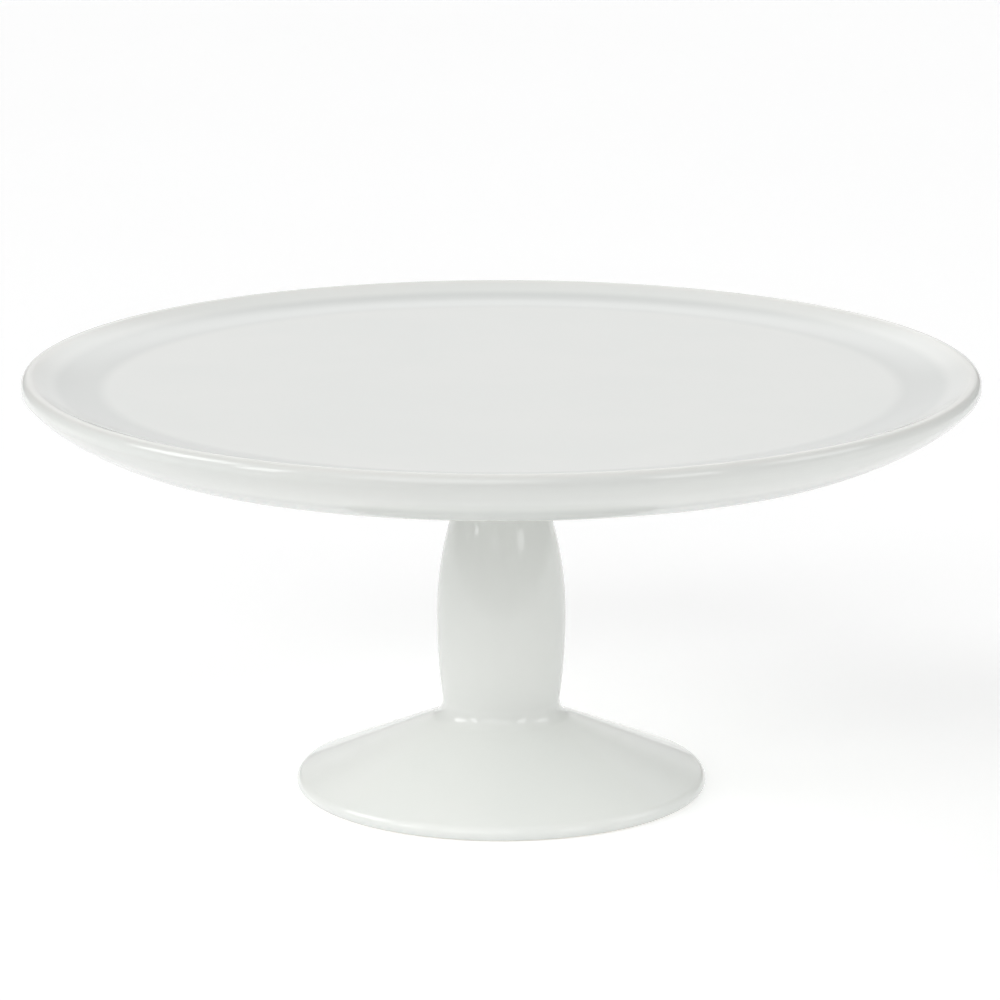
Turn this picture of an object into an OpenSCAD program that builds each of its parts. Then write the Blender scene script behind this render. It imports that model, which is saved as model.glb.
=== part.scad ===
// Footed cake stand: a shallow dished plate on a hollow barrel pedestal.
// A knob screw runs up the stem into an insert in the plate and clamps the two together.
// The origin is the centre of the foot's resting plane, with +Z up. Sizes are in millimetres.

/* [Plate] */
// Outer diameter of the plate
plate_d = 320; // [310:1:326]
// Height of the lip's crest above the table
stand_h = 144; // [144:1:160]
// Radius of the rounded lip
lip_r = 3.1; // [2.6:0.1:3.6]
// Slope of the well's cove where it meets the lip, in degrees
cove_slope = 23; // [18:1:26]
// Radius of the flat floor inside the cove
well_floor_r = 131; // [128:1:134]
// Thickness of the ceramic under the well
plate_t = 8; // [7:0.5:8.5]
// Width of the flat ring under the plate's edge
ring_w = 3.5; // [2:0.5:5]

/* [Stem] */
// Largest radius of the barrel
barrel_r = 21.8; // [20:0.1:22.3]
// Height of the barrel's largest radius
barrel_z = 59; // [56:1:60]
// Thickness of the stem's wall
stem_t = 6; // [5:0.5:7]
// Radius of the head that carries the plate
head_r = 36; // [35.5:0.5:42]
// Height of the head's top face
head_z = 125; // [124:0.5:125.5]

/* [Foot] */
// Outer radius of the foot
foot_r = 69.5; // [68:0.5:71]
// Slope of the foot's cone, in degrees
foot_slope = 23; // [20:0.5:23.5]
// Thickness of the foot's wall
foot_t = 5.5; // [5:0.5:6]
// Inner radius of the ring that the stand rests on
rest_ring_r = 61; // [52:1:61]

/* [Clamp] */
// Nominal thread diameter of the clamp rod
thread_d = 8; // [8:1:8]
// Radius of the knob
knob_r = 12; // [10:0.5:13]
// Scallops round the knob
knob_lobes = 6; // [5:1:7]

/* [Hidden] */
$fn = 96;
// Small overlap where one cut meets another
eps = 0.01;
// Rounding of small edges
edge_r = 1;

ceramic_colour = "whitesmoke";
brass_colour = "goldenrod";
steel_colour = "silver";
rubber_colour = "dimgray";

// The plate's outer profile: the lip turns into two flatter curves that run down to the ring.
// Angles are those of the surface normal below the horizontal.
lip_end_a = 40;
wall_mid_a = 55;
wall_end_a = 68;
upper_wall_r = 35;
lower_wall_r = 75;
ring_corner_r = 2;
ring_side_a = 60;
ring_root_r = 5;
boss_root_r = 3;
lip_c = [plate_d / 2 - lip_r, stand_h - lip_r];
upper_wall_c = carry_on(lip_c, lip_r, upper_wall_r, -lip_end_a);
lower_wall_c = carry_on(upper_wall_c, upper_wall_r, lower_wall_r, -wall_mid_a);
ring_c = carry_on(lower_wall_c, lower_wall_r, ring_corner_r, -wall_end_a);
ring_z = ring_c.y - ring_corner_r;

// The well's cove is an arc tangent to the lip and to the flat floor.
cove_end = lip_c + lip_r * dir(90 + cove_slope);
cove_r = (cove_end.x - well_floor_r) / sin(cove_slope);
floor_z = cove_end.y - cove_r * (1 - cos(cove_slope));
recess_z = floor_z - plate_t;

// The clamp stack, from the plate down.
gasket_t = 1;
gasket_r = head_r - 3;
gasket_bore_r = 14;
boss_z = head_z + gasket_t;
spigot_r = 11.8;
spigot_h = 10;
spigot_z = boss_z - spigot_h;
socket_clearance = 0.5;
insert_r = 6.5;
insert_h = 13;
insert_skin = 1;
cement_t = 1;
rod_gap = 0.05;
rod_r = thread_d / 2 - rod_gap;
rod_chamfer = 0.6;
rod_top_z = boss_z;
web_z = 26;
web_t = 6;
cushion_t = 1.5;
cushion_r = 12.5;
bearing_t = 2;
bearing_r = 12;
washer_gap = 0.4;
washer_bore_r = thread_d / 2 + washer_gap;
cushion_z = web_z - cushion_t;
bearing_z = cushion_z - bearing_t;
knob_h = 12;
knob_hub_h = 2;
knob_hub_r = 9;
knob_skin = 2;
knob_z = bearing_z - knob_h;
scallop_r = 5;
scallop_depth = 1.8;

// The barrel's two arcs meet at its widest level. The upper one is the tighter.
upper_barrel_r = 123;
lower_barrel_r = 214;
upper_barrel_c = [barrel_r - upper_barrel_r, barrel_z];
lower_barrel_c = [barrel_r - lower_barrel_r, barrel_z];
neck_fillet_r = 6.5;
head_fillet_r = 18;
head_edge_r = 2.4;
head_t = 5;
head_fillet_z = head_z - head_t - head_fillet_r;
head_fillet_reach = sqrt(pow(upper_barrel_r + head_fillet_r, 2) - pow(head_fillet_z - barrel_z, 2));
head_fillet_x = upper_barrel_c.x + head_fillet_reach;
head_fillet_c = [head_fillet_x, head_fillet_z];
head_join_a = angle_of(head_fillet_c - upper_barrel_c);

// The foot's edge is a small round below and a larger one above, then a straight cone.
foot_low_r = 2;
foot_top_r = 3.1;
cone_dir = dir(180 - foot_slope);
cone_normal = dir(90 - foot_slope);
foot_top_c = [foot_r - foot_top_r, foot_low_r];
cone_start = foot_top_c + foot_top_r * cone_normal;

// The neck's fillet touches the cone and the lower barrel arc: its centre lies on a line beside the cone,
// at neck_reach from the barrel arc's centre.
neck_reach = lower_barrel_r + neck_fillet_r;
neck_line = cone_start + neck_fillet_r * cone_normal - lower_barrel_c;
neck_along = neck_line * cone_dir;
neck_run = -neck_along - sqrt(pow(neck_along, 2) - neck_line * neck_line + pow(neck_reach, 2));
neck_c = lower_barrel_c + neck_line + neck_run * cone_dir;
neck_join_a = angle_of(neck_c - lower_barrel_c);

// Hollows of the pedestal.
web_gap = 0.5;
web_hole_r = thread_d / 2 + web_gap;
neck_bore_z = 97;
head_socket_z = spigot_z - socket_clearance;
knob_well_r = 14;
hollow_root_r = 4;

// Unit vector at an angle
function dir(a) = [cos(a), sin(a)];
// Angle of a vector
function angle_of(v) = atan2(v.y, v.x);
// Unit vector along v
function unit(v) = v / norm(v);
// Points along an arc about c, from angle a0 to a1
function arc(c, r, a0, a1, n = 12) = [for (i = [0:n]) c + r * dir(a0 + (a1 - a0) * i / n)];
// Centre of the arc of radius r1 that carries on smoothly from one of radius r0 at angle a
function carry_on(c, r0, r1, a) = c + (r0 - r1) * dir(a);
// Points that round the corner q between straight runs from p and to s
function corner(p, q, s, r, n = 6) =
    let (
        u = unit(p - q),
        v = unit(s - q),
        half = acos(u * v) / 2,
        c = q + unit(u + v) * r / sin(half),
        a0 = angle_of(q + u * r / tan(half) - c),
        a1 = angle_of(q + v * r / tan(half) - c),
        turn = (a1 - a0 + 540) % 360 - 180
    )
    arc(c, r, a0, a0 + turn, n);

// Half section of the plate without its socket, from the floor's centre out, round and back
function plate_outline() =
    let (
        ring_in = [ring_c.x - ring_w, ring_z],
        ring_root = ring_in + (recess_z - ring_z) / sin(ring_side_a) * dir(180 - ring_side_a),
        boss_root = [head_r, recess_z],
        boss_edge = [head_r, boss_z],
        boss_in = [spigot_r, boss_z],
        spigot_edge = [spigot_r, spigot_z]
    )
    concat(
        [[0, floor_z]],
        arc([well_floor_r, floor_z + cove_r], cove_r, -90, cove_slope - 90),
        arc(lip_c, lip_r, 90 + cove_slope, -lip_end_a, 24),
        arc(upper_wall_c, upper_wall_r, -lip_end_a, -wall_mid_a, 6),
        arc(lower_wall_c, lower_wall_r, -wall_mid_a, -wall_end_a, 6),
        arc(ring_c, ring_corner_r, -wall_end_a, -90, 4),
        corner(ring_c - [0, ring_corner_r], ring_in, ring_root, edge_r),
        corner(ring_in, ring_root, boss_root, ring_root_r),
        corner(ring_root, boss_root, boss_edge, boss_root_r),
        corner(boss_root, boss_edge, boss_in, edge_r),
        [boss_in],
        corner(boss_in, spigot_edge, [0, spigot_z], edge_r, 3),
        [[0, spigot_z]]
    );

// Outer half section of the pedestal, from the resting plane up
function pedestal_outline() =
    let (
        head_edge = [head_r, head_z],
        head_low = [head_r, head_z - head_t]
    )
    concat(
        [[0, 0]],
        arc([foot_r - foot_low_r, foot_low_r], foot_low_r, -90, 0, 6),
        arc(foot_top_c, foot_top_r, 0, 90 - foot_slope),
        arc(neck_c, neck_fillet_r, 270 - foot_slope, 180 + neck_join_a, 8),
        arc(lower_barrel_c, lower_barrel_r, neck_join_a, 0, 8),
        arc(upper_barrel_c, upper_barrel_r, 0, head_join_a, 8),
        arc(head_fillet_c, head_fillet_r, 180 + head_join_a, 90, 16),
        corner([head_fillet_x, head_z - head_t], head_low, head_edge, head_edge_r),
        corner(head_low, head_edge, [0, head_z], head_edge_r),
        [[0, head_z]]
    );

// Half section of the hollow in the stem, from the web up to the socket in the head
function stem_hollow_outline() =
    let (
        low_r = lower_barrel_r - stem_t,
        high_r = upper_barrel_r - stem_t,
        low_a = -asin((barrel_z - web_z - web_t) / low_r),
        high_a = asin((neck_bore_z - barrel_z) / high_r),
        bore_r = upper_barrel_c.x + high_r * cos(high_a)
    )
    concat(
        [[0, web_z + web_t]],
        arc(lower_barrel_c, low_r, low_a, 0, 8),
        arc(upper_barrel_c, high_r, 0, high_a, 8),
        [[bore_r, head_socket_z + eps], [0, head_socket_z + eps]]
    );

// Half section of the hollow under the foot, up to the web
function foot_hollow_outline() =
    let (
        under = cone_start - foot_t * cone_normal,
        ring_edge = under + (under.x - rest_ring_r) / cos(foot_slope) * cone_dir,
        well_edge = under + (under.x - knob_well_r) / cos(foot_slope) * cone_dir
    )
    concat(
        [[0, -1], [rest_ring_r, -1], ring_edge],
        corner(ring_edge, well_edge, [knob_well_r, web_z], hollow_root_r),
        corner(well_edge, [knob_well_r, web_z], [0, web_z], edge_r),
        [[0, web_z]]
    );

// Ring about the axis, standing on z
module ring(z, h, outer_r, inner_r) {
    translate([0, 0, z])
        difference() {
            cylinder(h = h, r = outer_r);
            translate([0, 0, -1]) cylinder(h = h + 2, r = inner_r);
        }
}

module cake_plate() {
    color(ceramic_colour)
        difference() {
            rotate_extrude() polygon(plate_outline());
            translate([0, 0, spigot_z - 1])
                cylinder(h = insert_h + cement_t + 1, r = insert_r + cement_t);
        }
}

module threaded_insert() {
    color(brass_colour)
        translate([0, 0, spigot_z])
            difference() {
                cylinder(h = insert_h, r = insert_r);
                translate([0, 0, -1]) cylinder(h = insert_h - insert_skin + 1, r = thread_d / 2);
            }
}

module insert_cement() {
    color(ceramic_colour)
        translate([0, 0, spigot_z])
            difference() {
                cylinder(h = insert_h + cement_t, r = insert_r + cement_t);
                translate([0, 0, -1]) cylinder(h = insert_h + 1, r = insert_r);
            }
}

module seat_gasket() {
    color(rubber_colour) ring(head_z, gasket_t, gasket_r, gasket_bore_r);
}

module pedestal() {
    socket_h = head_z - head_socket_z;
    color(ceramic_colour)
        difference() {
            rotate_extrude() polygon(pedestal_outline());
            rotate_extrude() polygon(foot_hollow_outline());
            rotate_extrude() polygon(stem_hollow_outline());
            translate([0, 0, web_z - 1]) cylinder(h = web_t + 2, r = web_hole_r);
            translate([0, 0, head_socket_z]) cylinder(h = socket_h + 1, r = spigot_r + socket_clearance);
        }
}

module cushion_washer() {
    color(rubber_colour) ring(cushion_z, cushion_t, cushion_r, washer_bore_r);
}

module bearing_washer() {
    color(steel_colour) ring(bearing_z, bearing_t, bearing_r, washer_bore_r);
}

module clamp_rod() {
    body_z = knob_z + knob_skin;
    color(steel_colour)
        rotate_extrude()
            polygon([
                [0, body_z],
                [rod_r, body_z],
                [rod_r, rod_top_z - rod_chamfer],
                [rod_r - rod_chamfer, rod_top_z],
                [0, rod_top_z]
            ]);
}

module hand_knob() {
    grip_h = knob_h - knob_hub_h;
    color(rubber_colour)
        translate([0, 0, knob_z])
            difference() {
                union() {
                    cylinder(h = grip_h, r = knob_r);
                    cylinder(h = knob_h, r = knob_hub_r);
                }
                for (i = [0:knob_lobes - 1])
                    rotate([0, 0, i * 360 / knob_lobes])
                        translate([knob_r + scallop_r - scallop_depth, 0, -1])
                            cylinder(h = knob_h + 2, r = scallop_r);
                translate([0, 0, knob_skin]) cylinder(h = knob_h, r = rod_r);
            }
}

cake_plate();
threaded_insert();
insert_cement();
seat_gasket();
pedestal();
cushion_washer();
bearing_washer();
clamp_rod();
hand_knob();
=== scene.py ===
"""Footed cake stand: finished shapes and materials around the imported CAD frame.

Outlines are in millimetres in the frame's own coordinates and become metres when they are made into meshes.
"""
import math

import bpy
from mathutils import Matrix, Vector


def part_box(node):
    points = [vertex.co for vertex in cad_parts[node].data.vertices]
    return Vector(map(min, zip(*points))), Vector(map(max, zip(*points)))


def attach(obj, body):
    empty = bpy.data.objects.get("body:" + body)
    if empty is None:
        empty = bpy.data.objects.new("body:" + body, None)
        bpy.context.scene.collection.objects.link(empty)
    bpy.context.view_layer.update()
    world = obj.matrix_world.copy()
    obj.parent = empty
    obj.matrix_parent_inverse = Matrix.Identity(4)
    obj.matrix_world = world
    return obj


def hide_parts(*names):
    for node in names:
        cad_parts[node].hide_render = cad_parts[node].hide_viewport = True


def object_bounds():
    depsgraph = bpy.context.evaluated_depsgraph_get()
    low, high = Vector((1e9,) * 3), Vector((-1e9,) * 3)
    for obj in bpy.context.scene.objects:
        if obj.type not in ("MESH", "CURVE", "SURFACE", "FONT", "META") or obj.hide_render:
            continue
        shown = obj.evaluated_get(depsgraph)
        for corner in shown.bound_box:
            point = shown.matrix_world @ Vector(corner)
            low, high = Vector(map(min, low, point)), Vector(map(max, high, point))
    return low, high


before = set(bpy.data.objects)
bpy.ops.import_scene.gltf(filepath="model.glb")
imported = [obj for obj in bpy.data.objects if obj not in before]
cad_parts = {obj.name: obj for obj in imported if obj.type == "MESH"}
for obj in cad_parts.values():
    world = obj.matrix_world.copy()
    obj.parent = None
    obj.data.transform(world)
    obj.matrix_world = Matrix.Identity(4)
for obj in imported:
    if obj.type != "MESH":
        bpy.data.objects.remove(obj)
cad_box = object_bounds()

MM = 0.001  # metres
TURNS = 288  # sides of the large turned pieces
SAME = 0.001  # points closer than this, in millimetres, are one
HEAD_R = 36  # the pedestal's head and the plate's boss that sits on it, in millimetres


# ---------------------------------------------------------------- outline geometry

def direction(angle):
    """Unit vector at an angle in degrees."""
    return Vector((math.cos(math.radians(angle)), math.sin(math.radians(angle))))


def angle_of(v):
    """Angle of a 2D vector in degrees."""
    return math.degrees(math.atan2(v.y, v.x))


def arc(centre, radius, start, end, steps):
    """Points along an arc about centre, from one angle to another."""
    return [centre + radius * direction(start + (end - start) * i / steps) for i in range(steps + 1)]


def carry_on(centre, radius, next_radius, angle):
    """Centre of the arc of next_radius that carries on smoothly from another at angle."""
    return centre + (radius - next_radius) * direction(angle)


def corner(before, at, after, radius, steps=8):
    """Points that round the corner at, between straight runs from before and to after."""
    u = (before - at).normalized()
    v = (after - at).normalized()
    half = u.angle(v) / 2
    centre = at + (u + v).normalized() * radius / math.sin(half)
    start = angle_of(at + u * radius / math.tan(half) - centre)
    end = angle_of(at + v * radius / math.tan(half) - centre)
    turn = (end - start + 180) % 360 - 180
    return arc(centre, radius, start, start + turn, steps)


def rounded(corners, steps=6):
    """A closed outline through (r, z, rounding radius) corners; a radius of 0 leaves the corner sharp."""
    points = []
    for i, (r, z, radius) in enumerate(corners):
        at = Vector((r, z))
        before = Vector(corners[i - 1][:2])
        after = Vector(corners[(i + 1) % len(corners)][:2])
        points += corner(before, at, after, radius, steps) if radius else [at]
    return points


def box_mm(node):
    """Outer radius, lowest and highest level of a CAD node, in millimetres."""
    lo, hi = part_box(node)
    return hi[0] / MM, lo[2] / MM, hi[2] / MM


# ---------------------------------------------------------------- meshes

def new_object(name, verts, faces, crease=40):
    """A smooth-shaded mesh object from metre coordinates, sharp at bends of over crease degrees."""
    mesh = bpy.data.meshes.new(name)
    mesh.from_pydata(verts, [], faces)
    mesh.validate()
    mesh.shade_smooth()
    mesh.set_sharp_from_angle(angle=math.radians(crease))
    piece = bpy.data.objects.new(name, mesh)
    bpy.context.scene.collection.objects.link(piece)
    return piece


def lathe(name, outline, turns=TURNS, radius_at=None):
    """Turns a closed outline about Z.

    radius_at(r, z, turn) may give the radius at each share of a turn, as lobes and threads need.
    """
    outline = [p for i, p in enumerate(outline) if (p - outline[i - 1]).length > SAME]
    verts = []
    rings = []
    for p in outline:
        if p.x < SAME:
            rings.append([len(verts)] * turns)
            verts.append((0, 0, p.y * MM))
            continue
        rings.append(list(range(len(verts), len(verts) + turns)))
        for i in range(turns):
            turn = i / turns
            r = (radius_at(p.x, p.y, turn) if radius_at else p.x) * MM
            verts.append((r * math.cos(math.tau * turn), r * math.sin(math.tau * turn), p.y * MM))
    faces = []
    for k, ring in enumerate(rings):
        after = rings[(k + 1) % len(rings)]
        for i in range(turns):
            j = (i + 1) % turns
            quad = [ring[i], ring[j], after[j], after[i]]
            face = [v for n, v in enumerate(quad) if v not in quad[:n]]
            if len(face) > 2:
                faces.append(face)
    return new_object(name, verts, faces)


# ---------------------------------------------------------------- ceramic pieces

def plate_outline():
    """Half section of the plate: floor, cove, lip, curved wall, foot ring, recess, boss and spigot."""
    lip_r, cove_slope, floor_r, thickness = 3.1, 23, 131, 8
    ring_w, ring_corner_r, ring_side = 3.5, 2, 60
    wall_angles = 40, 55, 68
    wall_radii = 35, 75
    socket_r, _, socket_top = box_mm("insert_cement")
    spigot_r = 11.8
    edge_r, ring_root_r, boss_root_r, spigot_root_r = 1, 5, 3, 0.4
    boss_z = box_mm("seat_gasket")[2]
    plate_r, spigot_z, crest_z = box_mm("cake_plate")
    lip_c = Vector((plate_r - lip_r, crest_z - lip_r))
    upper_c = carry_on(lip_c, lip_r, wall_radii[0], -wall_angles[0])
    lower_c = carry_on(upper_c, wall_radii[0], wall_radii[1], -wall_angles[1])
    ring_c = carry_on(lower_c, wall_radii[1], ring_corner_r, -wall_angles[2])
    cove_end = lip_c + lip_r * direction(90 + cove_slope)
    cove_r = (cove_end.x - floor_r) / math.sin(math.radians(cove_slope))
    floor_z = cove_end.y - cove_r * (1 - math.cos(math.radians(cove_slope)))
    recess_z = floor_z - thickness
    ring_z = ring_c.y - ring_corner_r
    ring_in = Vector((ring_c.x - ring_w, ring_z))
    ring_root = ring_in + (recess_z - ring_z) / math.sin(math.radians(ring_side)) * direction(180 - ring_side)
    boss_root = Vector((HEAD_R, recess_z))
    boss_edge = Vector((HEAD_R, boss_z))
    boss_in = Vector((spigot_r, boss_z))
    spigot_edge = Vector((spigot_r, spigot_z))
    spigot_in = Vector((socket_r, spigot_z))
    socket_edge = Vector((socket_r, socket_top))
    return (
        [Vector((0, floor_z))]
        + arc(Vector((floor_r, floor_z + cove_r)), cove_r, -90, cove_slope - 90, 24)
        + arc(lip_c, lip_r, 90 + cove_slope, -wall_angles[0], 40)
        + arc(upper_c, wall_radii[0], -wall_angles[0], -wall_angles[1], 12)
        + arc(lower_c, wall_radii[1], -wall_angles[1], -wall_angles[2], 12)
        + arc(ring_c, ring_corner_r, -wall_angles[2], -90, 6)
        + corner(ring_c - Vector((0, ring_corner_r)), ring_in, ring_root, edge_r)
        + corner(ring_in, ring_root, boss_root, ring_root_r, 12)
        + corner(ring_root, boss_root, boss_edge, boss_root_r)
        + corner(boss_root, boss_edge, boss_in, edge_r)
        + corner(boss_edge, boss_in, spigot_edge, spigot_root_r, 4)
        + corner(boss_in, spigot_edge, spigot_in, edge_r)
        + [spigot_in, socket_edge, Vector((0, socket_top))]
    )


def pedestal_outline():
    """Half section of the pedestal: foot, fillet, barrel, flared head, stem bore, web and foot hollow."""
    foot_r, _, head_z = box_mm("pedestal")
    web_z = box_mm("cushion_washer")[2]
    spigot_z = box_mm("cake_plate")[1]
    low_r, top_r, slope, wall = 2, 3.1, 23, 5.5
    rest_r, knob_well_r = 61, 14
    barrel_r, barrel_z, upper_r, lower_r, stem_wall = 21.8, 59, 123, 214, 6
    neck_r, head_fillet_r, head_t, head_edge_r = 6.5, 18, 5, 2.4
    web_t, web_hole_r, socket_r, socket_gap, bore_z = 6, 4.5, 12.3, 0.5, 97
    web_root_r, inner_edge_r, hollow_root_r, ring_edge_r, rest_edge_r = 1, 0.6, 4, 0.5, 0.4
    upper_c = Vector((barrel_r - upper_r, barrel_z))
    lower_c = Vector((barrel_r - lower_r, barrel_z))

    cone = direction(180 - slope)
    normal = direction(90 - slope)
    top_c = Vector((foot_r - top_r, low_r))
    cone_start = top_c + top_r * normal
    start = cone_start + neck_r * normal - lower_c
    along = start.dot(cone)
    run = -along - math.sqrt(along ** 2 - start.length_squared + (lower_r + neck_r) ** 2)
    neck_c = lower_c + start + run * cone
    neck_join = angle_of(neck_c - lower_c)

    fillet_z = head_z - head_t - head_fillet_r
    reach = math.sqrt((upper_r + head_fillet_r) ** 2 - (fillet_z - barrel_z) ** 2)
    fillet_c = Vector((upper_c.x + reach, fillet_z))
    head_join = angle_of(fillet_c - upper_c)
    head_low = Vector((HEAD_R, head_z - head_t))
    head_edge = Vector((HEAD_R, head_z))

    high_bore_r = upper_r - stem_wall
    low_bore_r = lower_r - stem_wall
    bore_high = math.degrees(math.asin((bore_z - barrel_z) / high_bore_r))
    bore_low = -math.degrees(math.asin((barrel_z - web_z - web_t) / low_bore_r))
    bore_top = upper_c + high_bore_r * direction(bore_high)
    bore_foot = lower_c + low_bore_r * direction(bore_low)
    socket_z = spigot_z - socket_gap
    socket_in = Vector((bore_top.x, socket_z))
    socket_low = Vector((socket_r, socket_z))
    socket_edge = Vector((socket_r, head_z))
    web_in_top = Vector((web_hole_r, web_z + web_t))
    web_in = Vector((web_hole_r, web_z))
    web_out = Vector((knob_well_r, web_z))

    under = cone_start - wall * normal
    slide = 1 / math.cos(math.radians(slope))
    ring_edge = under + (under.x - rest_r) * slide * cone
    well_edge = under + (under.x - knob_well_r) * slide * cone
    ring_low = Vector((rest_r, 0))
    foot_edge = Vector((foot_r - low_r, 0))
    return (
        arc(Vector((foot_r - low_r, low_r)), low_r, -90, 0, 12)
        + arc(top_c, top_r, 0, 90 - slope, 20)
        + arc(neck_c, neck_r, 270 - slope, 180 + neck_join, 20)
        + arc(lower_c, lower_r, neck_join, 0, 20)
        + arc(upper_c, upper_r, 0, head_join, 24)
        + arc(fillet_c, head_fillet_r, 180 + head_join, 90, 24)
        + corner(Vector((fillet_c.x, head_low.y)), head_low, head_edge, head_edge_r)
        + corner(head_low, head_edge, socket_edge, head_edge_r)
        + corner(head_edge, socket_edge, socket_low, inner_edge_r, 4)
        + corner(socket_edge, socket_low, socket_in, inner_edge_r, 4)
        + corner(socket_low, socket_in, bore_top, inner_edge_r, 4)
        + arc(upper_c, high_bore_r, bore_high, 0, 12)
        + arc(lower_c, low_bore_r, 0, bore_low, 12)[:-1]
        + corner(bore_foot + Vector((0, web_t)), bore_foot, web_in_top, web_root_r)
        + corner(bore_foot, web_in_top, web_in, inner_edge_r, 4)
        + corner(web_in_top, web_in, web_out, inner_edge_r, 4)
        + corner(web_in, web_out, well_edge, web_root_r)
        + corner(web_out, well_edge, ring_edge, hollow_root_r, 12)
        + corner(well_edge, ring_edge, ring_low, ring_edge_r, 4)
        + corner(ring_edge, ring_low, foot_edge, rest_edge_r, 4)
    )


# ---------------------------------------------------------------- fittings

def ring_outline(node, inner_r, edge_r, bulge=0.0):
    """Half section of a washer or gasket with rounded edges, its faces narrower than its middle by bulge."""
    outer_r, low, high = box_mm(node)
    middle = (low + high) / 2
    return rounded([
        (inner_r + bulge, low, edge_r),
        (outer_r - bulge, low, edge_r),
        (outer_r, middle, 0),
        (outer_r - bulge, high, edge_r),
        (inner_r + bulge, high, edge_r),
        (inner_r, middle, 0),
    ])


def thread_depth(z, turn, low, high, pitch=1.25, depth=0.62):
    """Depth of a right-handed thread's groove at a level and a share of a turn, running out at both ends."""
    root, flank = 0.1, 0.4  # half the flat root, and one flank, as shares of the pitch
    phase = (z / pitch - turn) % 1
    groove = min(1, max(0, (root + flank - abs(phase - 0.5)) / flank))
    runout = min(1, max(0, min(z - low, high - z) / pitch))
    return depth * groove * runout


def levels(low, high, step):
    """Evenly spaced levels from low to high, no further apart than step."""
    count = math.ceil((high - low) / step)
    return [low + (high - low) * i / count for i in range(count + 1)]


def clamp_rod():
    """The rod: plain shank in the knob and stem, a threaded end in the plate's insert."""
    rod_r, low, high = box_mm("clamp_rod")
    chamfer, thread_length, past_end, row = 0.6, 30, 1, 0.1
    thread_low, thread_high = high - thread_length, high + past_end
    rows = levels(thread_low, high - chamfer, row)
    outline = (
        [Vector((0, low)), Vector((rod_r, low))]
        + [Vector((rod_r, z)) for z in rows]
        + [Vector((rod_r - chamfer, high)), Vector((0, high))]
    )

    def radius_at(r, z, turn):
        return r - thread_depth(z, turn, thread_low, thread_high) if r == rod_r else r

    return lathe("clamp_rod_threaded", outline, 72, radius_at)


def threaded_insert():
    """The insert: two knurled bands outside, a threaded blind bore inside."""
    insert_r, low, high = box_mm("threaded_insert")
    bore_r, skin, row = 4, 1, 0.1
    ridges, knurl_depth, band, waist = 36, 0.25, 4.5, 0.6
    chamfer, bore_chamfer, bore_depth = 0.4, 0.5, 0.4
    bore_top = high - skin
    outline = (
        [Vector((bore_r + bore_chamfer, low)), Vector((insert_r - chamfer, low))]
        + [Vector((insert_r, z)) for z in levels(low + chamfer, low + band, 1)]
        + [Vector((insert_r - waist, z)) for z in (low + band + chamfer, high - band - chamfer)]
        + [Vector((insert_r, z)) for z in levels(high - band, high - chamfer, 1)]
        + [Vector((insert_r - chamfer, high)), Vector((0, high)), Vector((0, bore_top))]
        + [Vector((bore_r, z)) for z in reversed(levels(low + bore_chamfer, bore_top, row))]
    )

    def radius_at(r, z, turn):
        if r == insert_r:
            return r - knurl_depth * (0.5 + 0.5 * math.cos(math.tau * turn * ridges))
        if r == bore_r:
            return r + thread_depth(z, turn, low, bore_top, depth=bore_depth)
        return r

    return lathe("insert_knurled", outline, 216, radius_at)


def insert_cement():
    """The cement sleeve and cap round the insert."""
    outer_r, low, high = box_mm("insert_cement")
    insert_r, _, insert_top = box_mm("threaded_insert")
    outline = rounded([
        (0, insert_top, 0),
        (insert_r, insert_top, 0),
        (insert_r, low, 0.2),
        (outer_r, low, 0.2),
        (outer_r, high, 0),
        (0, high, 0),
    ])
    return lathe("insert_cement_sleeve", outline, 96)


def hand_knob():
    """The knob: soft-edged grip with scallops round it, a hub on top and a dished underside."""
    _, low, high = box_mm("hand_knob")
    rod_r, rod_low, _ = box_mm("clamp_rod")
    knob_r, hub_r, hub_h, lobes = 12, 9, 2, 6
    scallop_r, scallop_depth, dish_r, dish, softness = 5, 1.8, 7.5, 1, 0.25
    scallop_x = knob_r + scallop_r - scallop_depth
    outline = rounded([
        (0, low + dish, 0),
        (dish_r, low + dish, 0.8),
        (dish_r + 1, low, 0.5),
        (knob_r, low, 1.5),
        (knob_r, high - hub_h, 2),
        (hub_r, high - hub_h, 0.5),
        (hub_r, high, 0.6),
        (rod_r, high, 0.3),
        (rod_r, rod_low, 0),
        (0, rod_low, 0),
    ])

    def radius_at(r, z, turn):
        a = ((turn * lobes + 0.5) % 1 - 0.5) / lobes * math.tau
        reach = scallop_r ** 2 - (scallop_x * math.sin(a)) ** 2
        rim = scallop_x * math.cos(a) - math.sqrt(reach) if reach > 0 else knob_r
        cut = max(0, knob_r - rim)
        softened = cut * cut / (cut + softness)
        return r - softened * max(0, (r - hub_r) / (knob_r - hub_r))

    return lathe("hand_knob_moulded", outline, TURNS, radius_at)


# ---------------------------------------------------------------- materials

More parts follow.
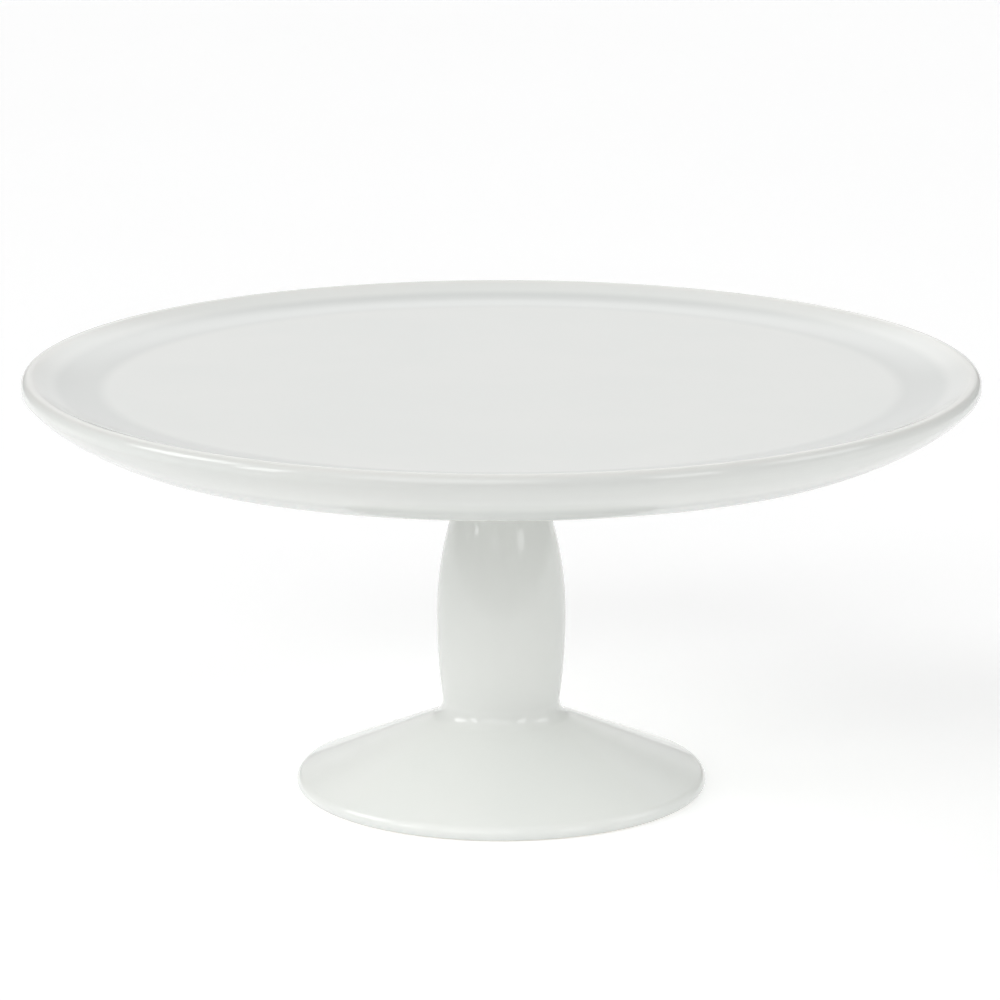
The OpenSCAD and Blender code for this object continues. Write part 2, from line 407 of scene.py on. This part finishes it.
class Surface:
    """One Principled material and the nodes that feed it. Coordinates are the piece's own, in metres."""

    def __init__(self, name, **uniform):
        self.material = bpy.data.materials.new(name)
        self.material.use_nodes = True
        self.tree = self.material.node_tree
        self.shader = self.tree.nodes["Principled BSDF"]
        for socket, value in uniform.items():
            self.shader.inputs[socket.replace("_", " ")].default_value = value
        self.place = self.node("ShaderNodeTexCoord").outputs["Object"]

    def node(self, kind, inputs=None, **settings):
        """A new node with its settings, and its inputs set to values or linked to sockets."""
        made = self.tree.nodes.new(kind)
        for key, value in settings.items():
            setattr(made, key, value)
        for key, value in (inputs or {}).items():
            if isinstance(value, bpy.types.NodeSocket):
                self.tree.links.new(value, made.inputs[key])
            else:
                made.inputs[key].default_value = value
        return made

    def noise(self, scale, detail=2, roughness=0.5, stretch=(1, 1, 1)):
        """Noise with features about 1 / scale metres wide."""
        place = self.node("ShaderNodeMapping", {"Vector": self.place, "Scale": stretch}).outputs["Vector"]
        sizes = {"Vector": place, "Scale": scale, "Detail": detail, "Roughness": roughness}
        return self.node("ShaderNodeTexNoise", sizes).outputs["Fac"]

    def ramp(self, value, low, high, to_low=0, to_high=1):
        """value mapped smoothly from low..high to to_low..to_high."""
        limits = {"Value": value, "From Min": low, "From Max": high, "To Min": to_low, "To Max": to_high}
        return self.node("ShaderNodeMapRange", limits, interpolation_type="SMOOTHSTEP").outputs["Result"]

    def maths(self, operation, a, b=0):
        """One sum on values or sockets."""
        return self.node("ShaderNodeMath", {0: a, 1: b}, operation=operation).outputs["Value"]

    def mix(self, share, a, b):
        """Colour a turning into colour b by share."""
        mixer = self.node("ShaderNodeMix", {"Factor": share}, data_type="RGBA")
        for socket, value in ((mixer.inputs[6], a), (mixer.inputs[7], b)):
            if isinstance(value, bpy.types.NodeSocket):
                self.tree.links.new(value, socket)
            else:
                socket.default_value = (*value, 1)
        return mixer.outputs[2]

    def bumps(self, *layers):
        """Bump from (height, depth in metres) layers, each laid over the one before."""
        normal = None
        for height, depth in layers:
            inputs = {"Height": height, "Distance": depth, "Strength": 1.0}
            if normal:
                inputs["Normal"] = normal
            normal = self.node("ShaderNodeBump", inputs).outputs["Normal"]
        self.tree.links.new(normal, self.shader.inputs["Normal"])

    def feed(self, **sockets):
        """Links outputs to the shader's inputs."""
        for name, output in sockets.items():
            self.tree.links.new(output, self.shader.inputs[name.replace("_", " ")])
        return self.material


WHITE_GLAZE = (0.80, 0.813, 0.787)
CLOUDY_GLAZE = (0.785, 0.803, 0.778)
# Painted shade: a darker glaze colour laid where shade falls on the plate and the pedestal.
PAINTED_SHADE_GLAZE = (0.67, 0.69, 0.672)
THIN_GLAZE = (0.81, 0.808, 0.775)
BARE_CERAMIC = (0.78, 0.745, 0.68)


def glaze(name, thin, painted_shade, bare):
    """Glossy white glaze.

    thin, the painted-shade mask and bare each take (surface, r, z) and give their share of the surface; the
    painted-shade share turns the glaze darker where shade falls.
    """
    s = Surface(name, IOR=1.5)
    parts = s.node("ShaderNodeSeparateXYZ", {"Vector": s.place}).outputs
    z = parts["Z"]
    r = s.maths("SQRT", s.maths("ADD", s.maths("POWER", parts["X"], 2), s.maths("POWER", parts["Y"], 2)))
    colour = s.mix(s.ramp(s.noise(14, 3), 0.35, 0.65), WHITE_GLAZE, CLOUDY_GLAZE)
    colour = s.mix(thin(s, r, z), colour, THIN_GLAZE)
    # Painted shade: the darker colour mixed in by the painted-shade mask.
    colour = s.mix(painted_shade(s, r, z), colour, PAINTED_SHADE_GLAZE)
    bare_share = bare(s, r, z)
    colour = s.mix(bare_share, colour, BARE_CERAMIC)
    grain = s.noise(1800, 4, 0.6)
    glossy = s.ramp(s.noise(60, 3), 0.3, 0.7, 0.05, 0.08)
    s.bumps(
        (s.noise(22, 1), 0.00006),
        (s.noise(300, 2), 0.000004),
        (s.maths("MULTIPLY", grain, bare_share), 0.00006),
    )
    rough = s.ramp(bare_share, 0, 1, 0, 0.6)
    return s.feed(Base_Color=colour, Roughness=s.maths("ADD", glossy, rough))


def below(s, value, level, blur, wobble):
    """1 where value is under level, with a soft edge that wobbles as a wiped glaze line does.

    value is a socket in metres; level, blur and wobble are in millimetres.
    """
    shifted = s.maths("ADD", value, s.ramp(s.noise(120, 2), 0.3, 0.7, -wobble * MM, wobble * MM))
    return s.ramp(shifted, (level - blur) * MM, (level + blur) * MM, 1, 0)


def plate_thin(s, r, z):
    """Thin over the crest of the lip."""
    crest_z = box_mm("cake_plate")[2]
    return s.ramp(z, (crest_z - 1.6) * MM, crest_z * MM, 0, 0.7)


def plate_painted_shade(s, r, z):
    """Painted shade: darker in a band 9 to 30 mm inside the plate's rim, over the cove on top and the bend
    outside the ring underneath.
    """
    plate_r = box_mm("cake_plate")[0]
    within = s.ramp(r, (plate_r - 9) * MM, (plate_r - 14) * MM, 0, 0.9)
    return s.maths("MULTIPLY", within, s.ramp(r, (plate_r - 30) * MM, (plate_r - 24) * MM))


def pedestal_thin(s, r, z):
    """Thin over the edge of the head."""
    head_z = box_mm("pedestal")[2]
    high = s.ramp(z, (head_z - 7) * MM, (head_z - 4) * MM, 0, 0.7)
    return s.maths("MULTIPLY", high, s.ramp(r, (HEAD_R - 3) * MM, (HEAD_R - 1) * MM))


def pedestal_painted_shade(s, r, z):
    """Painted shade: darker on everything lower than 3.5 mm, at the very bottom of the foot's edge next to
    the floor.
    """
    return s.ramp(z, 3.5 * MM, 1 * MM, 0, 0.7)


def plate_bare(s, r, z):
    """The plate's bare faces: its seat on the head and the flat of its foot ring."""
    seat_r, seat_z, ring_z = HEAD_R - 1, 126.5, 124.75
    seat = below(s, r, seat_r, 0.3, 0.2)
    ring = below(s, z, ring_z, 0.08, 0.05)
    under = below(s, z, seat_z, 0.2, 0.05)
    return s.maths("MULTIPLY", under, s.maths("MAXIMUM", seat, ring))


def pedestal_bare(s, r, z):
    """The pedestal's bare faces: the ring that it stands on and the top of its head."""
    rest_z, seat_r, seat_z = 0.35, HEAD_R - 1.5, 124.8
    foot = below(s, z, rest_z, 0.08, 0.06)
    head_side = below(s, r, seat_r, 0.3, 0.2)
    head_top = s.maths("SUBTRACT", 1, below(s, z, seat_z, 0.08, 0.04))
    return s.maths("MAXIMUM", foot, s.maths("MULTIPLY", head_side, head_top))


def metal(name, dark, light, roughness, line_stretch):
    """Bare metal with a mottled finish and fine tool marks, long where line_stretch is small."""
    s = Surface(name, Metallic=1.0)
    colour = s.mix(s.ramp(s.noise(90, 3), 0.35, 0.65), dark, light)
    lines = s.noise(2500, 2, 0.6, line_stretch)
    s.bumps((lines, 0.00001))
    return s.feed(Base_Color=colour, Roughness=s.ramp(lines, 0.3, 0.7, roughness - 0.06, roughness + 0.08))


def moulded(name, dark, light, roughness, grain_scale, grain_depth):
    """Rubber, plastic or cement from a mould: fine even grain, cloudy colour, a little gloss variation."""
    s = Surface(name)
    colour = s.mix(s.ramp(s.noise(70, 4), 0.3, 0.7), dark, light)
    grain = s.noise(grain_scale, 3, 0.55)
    s.bumps((grain, grain_depth))
    return s.feed(Base_Color=colour, Roughness=s.ramp(grain, 0.3, 0.7, roughness - 0.08, roughness + 0.08))


# ---------------------------------------------------------------- the stand

def build_stand():
    """Every finished piece, on its body, in place of its CAD node."""
    steel = metal("zinc_plated_steel", (0.56, 0.57, 0.59), (0.68, 0.69, 0.7), 0.32, (0.1, 0.1, 3))
    pieces = (
        ("cake_plate", "plate", "glaze", lathe("cake_plate_glazed", plate_outline()),
         glaze("plate_glaze", plate_thin, plate_painted_shade, plate_bare)),
        ("threaded_insert", "plate", "brass", threaded_insert(),
         metal("turned_brass", (0.6, 0.42, 0.17), (0.72, 0.53, 0.25), 0.28, (0.1, 0.1, 3))),
        ("insert_cement", "plate", "cement", insert_cement(),
         moulded("cast_cement", (0.42, 0.41, 0.38), (0.55, 0.54, 0.5), 0.85, 1500, 0.0001)),
        ("pedestal", "pedestal", "glaze", lathe("pedestal_glazed", pedestal_outline()),
         glaze("pedestal_glaze", pedestal_thin, pedestal_painted_shade, pedestal_bare)),
        ("seat_gasket", "pedestal", "gasket_rubber",
         lathe("seat_gasket_ring", ring_outline("seat_gasket", 14, 0.25, 0.2)),
         moulded("silicone", (0.62, 0.63, 0.61), (0.7, 0.71, 0.69), 0.45, 900, 0.00001)),
        ("cushion_washer", "washer_stack", "washer_rubber",
         lathe("cushion_washer_ring", ring_outline("cushion_washer", 4.4, 0.3, 0.25), 144),
         moulded("black_rubber", (0.022, 0.022, 0.022), (0.034, 0.034, 0.033), 0.72, 2600, 0.00003)),
        ("bearing_washer", "washer_stack", "steel",
         lathe("bearing_washer_ring", ring_outline("bearing_washer", 4.4, 0.35), 144), steel),
        ("clamp_rod", "knob_screw", "steel", clamp_rod(), steel),
        ("hand_knob", "knob_screw", "knob_plastic", hand_knob(),
         moulded("knob_plastic", (0.028, 0.028, 0.03), (0.04, 0.04, 0.043), 0.5, 3200, 0.00002)),
    )
    for node, body, slot, piece, finish in pieces:
        piece.data.materials.append(finish)
        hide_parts(node)
        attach(piece, body)


# ---------------------------------------------------------------- stage

def build_camera():
    """A long lens in front of the stand, above the lip and looking slightly down."""
    distance, height, tilt_down = 1.5656, 0.471, 13.38
    data = bpy.data.cameras.new("camera")
    data.sensor_width = 36
    data.lens = 172.3
    data.shift_x = -0.0013
    data.clip_start, data.clip_end = 0.05, 50
    camera = bpy.data.objects.new("camera", data)
    camera.location = (0, -distance, height)
    camera.rotation_euler = (math.radians(90 - tilt_down), 0, 0)
    bpy.context.scene.collection.objects.link(camera)
    bpy.context.scene.camera = camera


def build_floor():
    """A wide pale floor that glows a little, and turns grey in front of the stand, out of shot: painted
    shade, so that less light comes up from the floor onto the plate's underside.
    """
    half, grey_from, pale_from, glow = 12, -0.5, -0.25, 0.29
    corners = [(-half, -half, 0), (half, -half, 0), (half, half, 0), (-half, half, 0)]
    floor = new_object("floor", corners, [(0, 1, 2, 3)])
    s = Surface("floor_paper_and_shade", Roughness=0.9, Emission_Color=(1, 1, 1, 1))
    y = s.node("ShaderNodeSeparateXYZ", {"Vector": s.place}).outputs["Y"]
    near = s.ramp(y, grey_from, pale_from)
    pale = s.mix(s.noise(3), (0.84, 0.84, 0.84), (0.86, 0.86, 0.86))
    # Painted shade: grey floor that does not glow, in front of the stand, darkening the light thrown onto the
    # plate's lower wall.
    paper_and_shade = s.mix(near, (0.42, 0.42, 0.42), pale)
    floor.data.materials.append(s.feed(Base_Color=paper_and_shade, Emission_Strength=s.maths("MULTIPLY", near, glow)))


def toward(bearing, elevation):
    """Unit vector to a light: 0 degrees of bearing is the camera's side, and 90 is its right."""
    flat = direction(bearing - 90) * math.cos(math.radians(elevation))
    return Vector((flat.x, flat.y, math.sin(math.radians(elevation))))


def build_room():
    """A white room with soft round glows: (bearing, elevation, core and rim half angles, brightness)."""
    ambient = 0.37
    glows = (
        (-90, 34, 8, 18, 4.3),
        (-15, 37, 12, 29, 1.7),
        (90, 34, 8, 18, 2.3),
        (180, 16, 10, 22, 0.58),
        (180, 40, 12, 28, 0.68),
    )
    world = bpy.data.worlds.new("room")
    world.use_nodes = True
    bpy.context.scene.world = world
    tree = world.node_tree
    gaze = tree.nodes.new("ShaderNodeTexCoord").outputs["Generated"]
    total = tree.nodes.new("ShaderNodeValue").outputs["Value"]
    total.default_value = ambient
    for bearing, elevation, core, rim, brightness in glows:
        facing = tree.nodes.new("ShaderNodeVectorMath")
        facing.operation = "DOT_PRODUCT"
        facing.inputs[1].default_value = toward(bearing, elevation)
        tree.links.new(gaze, facing.inputs[0])
        lamp = tree.nodes.new("ShaderNodeMapRange")
        lamp.interpolation_type = "SMOOTHSTEP"
        lamp.inputs["From Min"].default_value = math.cos(math.radians(rim))
        lamp.inputs["From Max"].default_value = math.cos(math.radians(core))
        lamp.inputs["To Max"].default_value = brightness
        tree.links.new(facing.outputs["Value"], lamp.inputs["Value"])
        added = tree.nodes.new("ShaderNodeMath")
        tree.links.new(lamp.outputs["Result"], added.inputs[0])
        tree.links.new(total, added.inputs[1])
        total = added.outputs["Value"]
    background = tree.nodes["Background"]
    background.inputs["Color"].default_value = (1, 1, 1, 1)
    tree.links.new(total, background.inputs["Strength"])
    bpy.context.scene.view_settings.view_transform = "Standard"


def add_softbox(name, bearing, elevation, width, height, radiance):
    """A rectangular area light, taller than wide, aimed at the middle of the stand."""
    distance = 1.3
    target = Vector((0, 0, (cad_box[0][2] + cad_box[1][2]) / 2))
    offset = toward(bearing, elevation)
    data = bpy.data.lights.new(name, "AREA")
    data.shape = "RECTANGLE"
    data.size = width
    data.size_y = height
    data.energy = radiance * math.pi * width * height
    light = bpy.data.objects.new(name, data)
    light.location = target + offset * distance
    light.rotation_euler = (-offset).to_track_quat("-Z", "Y").to_euler()
    bpy.context.scene.collection.objects.link(light)


build_camera()
build_stand()
build_floor()
build_room()
add_softbox("softbox_left", -56, 26, 0.22, 0.6, 4.2)
add_softbox("softbox_right", 42, 23, 0.34, 0.6, 2.5)
